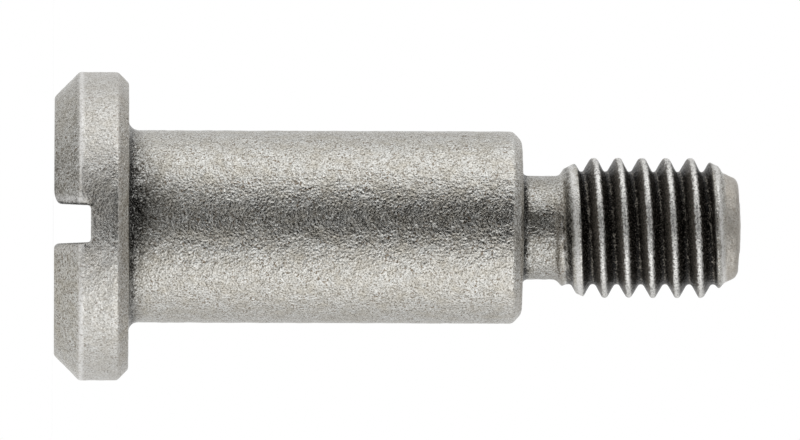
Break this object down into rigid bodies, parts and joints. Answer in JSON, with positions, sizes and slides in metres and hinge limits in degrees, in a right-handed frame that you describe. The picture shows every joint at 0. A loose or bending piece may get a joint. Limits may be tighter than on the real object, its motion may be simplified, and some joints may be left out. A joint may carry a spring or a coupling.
{
  "type": "slotted shoulder screw",
  "caption": "Steel shoulder screw: chamfered cheese head with a driver slot, plain bearing shoulder, undercut neck and a short coarse thread with a coned tip.",
  "frame": {"origin": "on the screw's axis, at the driven end face of the head, which it stands on", "axes": "+Z along the screw's axis from the head to the threaded tip; Y along the driver slot; X across it"},
  "size_m": [0.0128, 0.0128, 0.0284],
  "materials": {
    "blasted_steel": "plain steel, grain-blasted to a coarse sparkling matt, with brown-tinted pits"
  },
  "bodies": {
    "root": {"shoulder_screw": "blasted_steel"}
  },
  "joints": []
}
